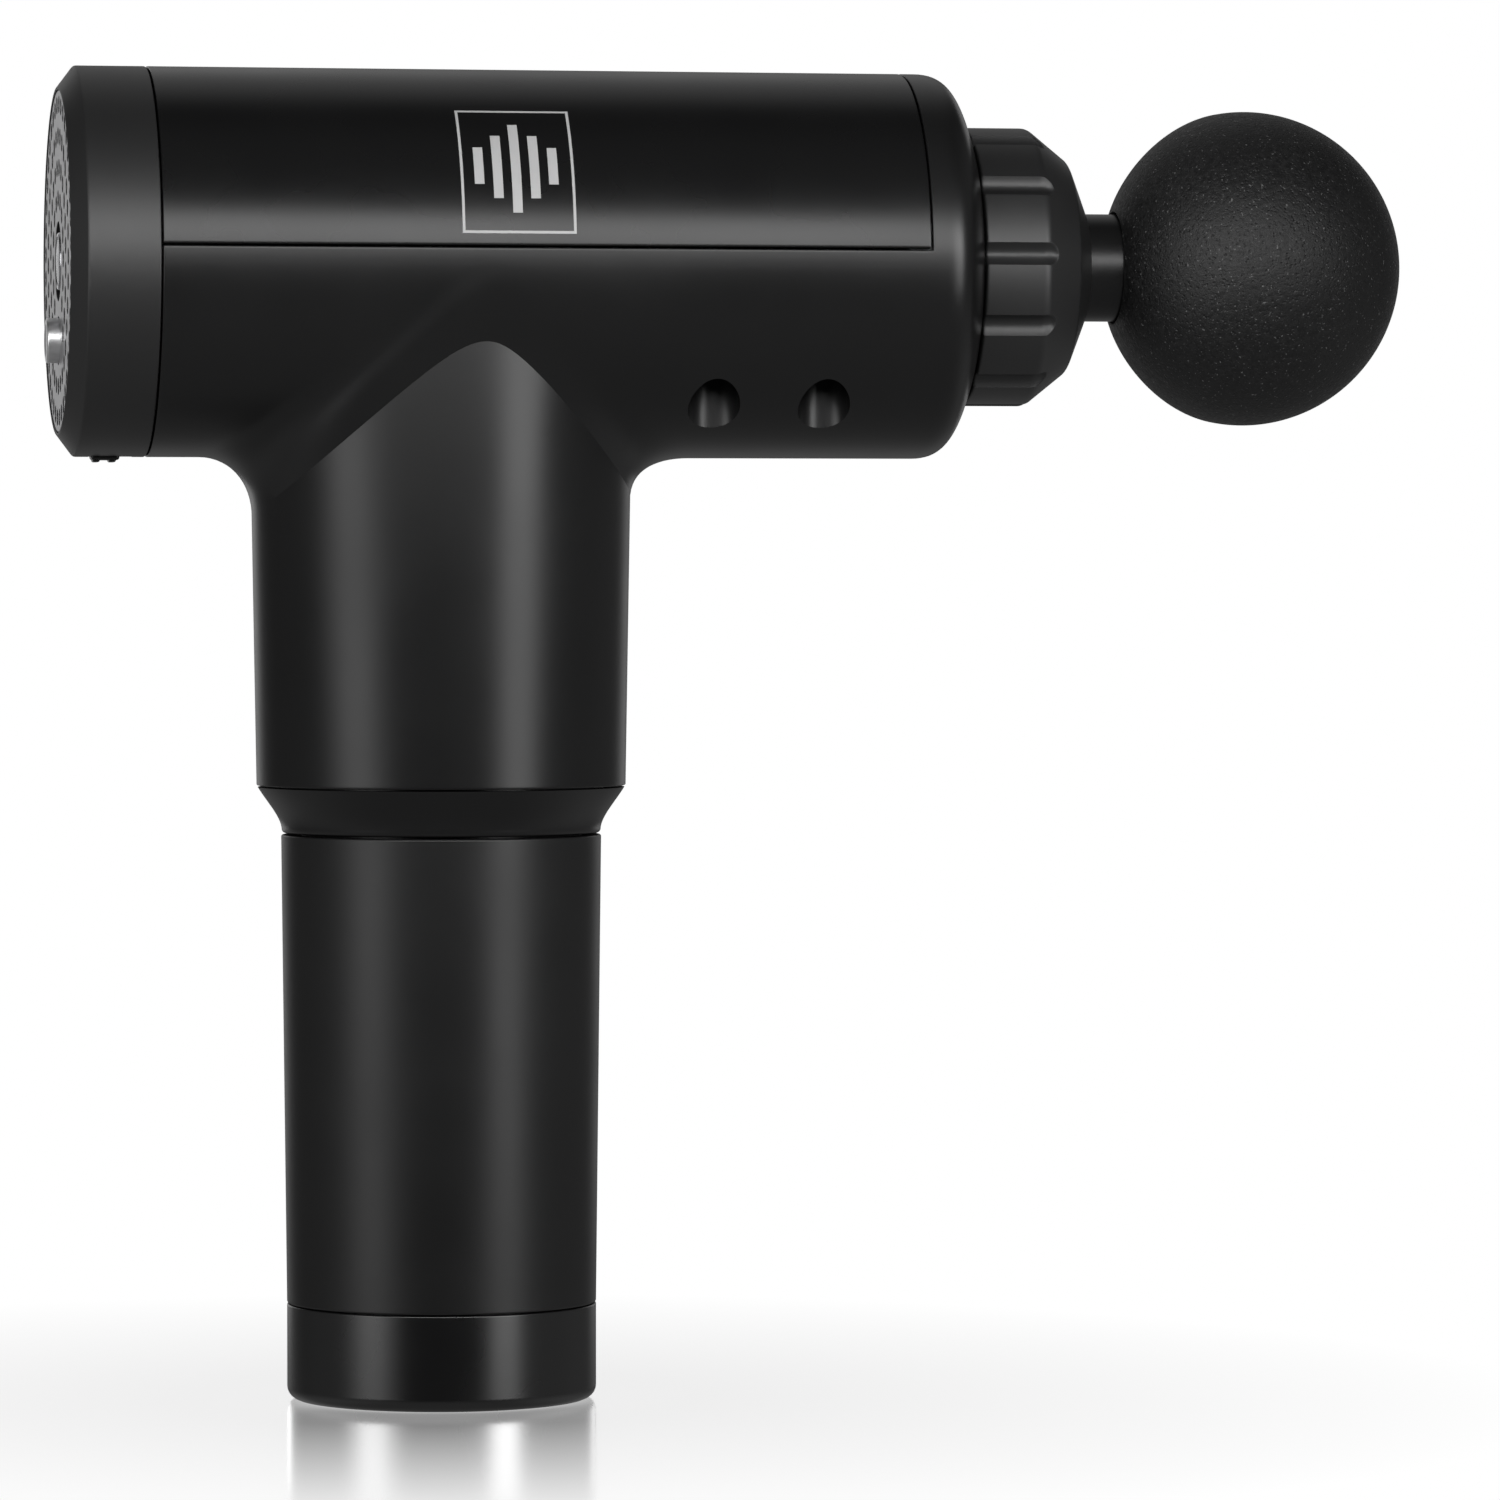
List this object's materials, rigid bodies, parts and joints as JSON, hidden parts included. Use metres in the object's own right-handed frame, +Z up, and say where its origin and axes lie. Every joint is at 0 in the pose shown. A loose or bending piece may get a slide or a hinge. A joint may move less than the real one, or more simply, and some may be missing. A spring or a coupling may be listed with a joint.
{
  "type": "massage gun",
  "caption": "Handheld percussive massage gun: cylindrical head with fluted nose and foam ball, perforated rear disc with button, and round battery handle it stands on.",
  "frame": {"origin": "centre of the handle's flat base, on the surface it stands on", "axes": "+X forwards along the percussion axis towards the ball, +Z up the handle, +Y to the tool's left"},
  "size_m": [0.2328, 0.0656, 0.225],
  "materials": {
    "satin_black": "satin",
    "soft_touch_black": "soft-touch matt",
    "black_nylon": "satin",
    "dense_foam": "matt, closed-cell foam",
    "gunmetal": "anodised satin",
    "gunmetal_steel": "machined",
    "polished_steel": "polished",
    "chrome_button": "polished",
    "aluminium": "machined",
    "copper_winding": "lacquered copper",
    "gilt_contact": "gilt",
    "black_rubber": "matt",
    "green_board": "solder mask",
    "cell_sleeve": "shrink sleeve over a metal can"
  },
  "bodies": {
    "housing": {"housing": "satin_black", "top_cover": "satin_black", "cover_screw_1": "polished_steel", "cover_screw_2": "polished_steel", "cover_screw_3": "polished_steel", "cover_screw_4": "polished_steel", "rear_bezel": "satin_black", "grille_disc": "gunmetal", "emblem": "polished_steel", "control_board": "green_board", "button_switch": "black_nylon", "slide_switch": "polished_steel", "guide_carrier": "aluminium", "guide_bush": "black_nylon", "wiper_seal": "black_rubber", "motor_mount": "aluminium", "motor_stator": "copper_winding", "lower_bearing": "polished_steel", "upper_bearing": "polished_steel", "bearing_bracket": "aluminium", "shaft_bearing": "polished_steel", "neck_socket": "satin_black", "contact_block": "black_nylon", "contact_plus": "gilt_contact", "contact_minus": "gilt_contact"},
    "button": {"power_button": "chrome_button"},
    "switch": {"slide_knob": "satin_black"},
    "collar": {"collar": "satin_black"},
    "piston": {"piston": "aluminium"},
    "attachment": {"attachment_stem": "black_nylon", "attachment_ball": "dense_foam", "rear_o_ring": "black_rubber", "front_o_ring": "black_rubber"},
    "rotor": {"rotor_bell": "aluminium", "magnet_ring": "polished_steel", "motor_shaft": "polished_steel", "crank_wheel": "gunmetal_steel", "crank_screw": "polished_steel"},
    "rod": {"connecting_rod": "aluminium", "crank_bearing": "polished_steel", "wrist_bearing": "polished_steel", "wrist_screw": "polished_steel"},
    "battery": {"battery_grip": "soft_touch_black", "battery_lid": "black_nylon", "battery_board": "green_board", "upper_cell_holder": "black_nylon", "lower_cell_holder": "black_nylon", "battery_cell_1": "cell_sleeve", "battery_cell_2": "cell_sleeve", "battery_cell_3": "cell_sleeve", "battery_cell_4": "cell_sleeve", "base_cap": "satin_black", "charge_board": "green_board", "charge_port": "polished_steel"}
  },
  "joints": [
    {"name": "motor_spin", "type": "hinge", "parent": "housing", "child": "rotor", "pos_m": [0, 0, 0.14], "axis": [0, 0, 1], "continuous": true},
    {"name": "rod_swing", "type": "hinge", "parent": "rotor", "child": "rod", "pos_m": [-0.005, 0, 0.1922], "axis": [0, 0, 1], "continuous": true},
    {"name": "piston_stroke", "type": "slide", "parent": "housing", "child": "piston", "axis": [1, 0, 0], "range_m": [0, 0.01]},
    {"name": "attachment_release", "type": "slide", "parent": "piston", "child": "attachment", "axis": [1, 0, 0], "range_m": [0, 0.03]},
    {"name": "collar_turn", "type": "hinge", "parent": "housing", "child": "collar", "pos_m": [0.1, 0, 0.1922], "axis": [1, 0, 0], "range_deg": [0, 60]},
    {"name": "button_press", "type": "slide", "parent": "housing", "child": "button", "axis": [1, 0, 0], "range_m": [0, 0.001], "stiffness_N_per_m": 400},
    {"name": "switch_slide", "type": "slide", "parent": "housing", "child": "switch", "axis": [1, 0, 0], "range_m": [0, 0.002]},
    {"name": "battery_release", "type": "slide", "parent": "housing", "child": "battery", "axis": [0, 0, -1], "range_m": [0, 0.03]}
  ],
  "couplings": [
    {"joint": "rod_swing", "follows": "motor_spin", "ratio": -1}
  ]
}
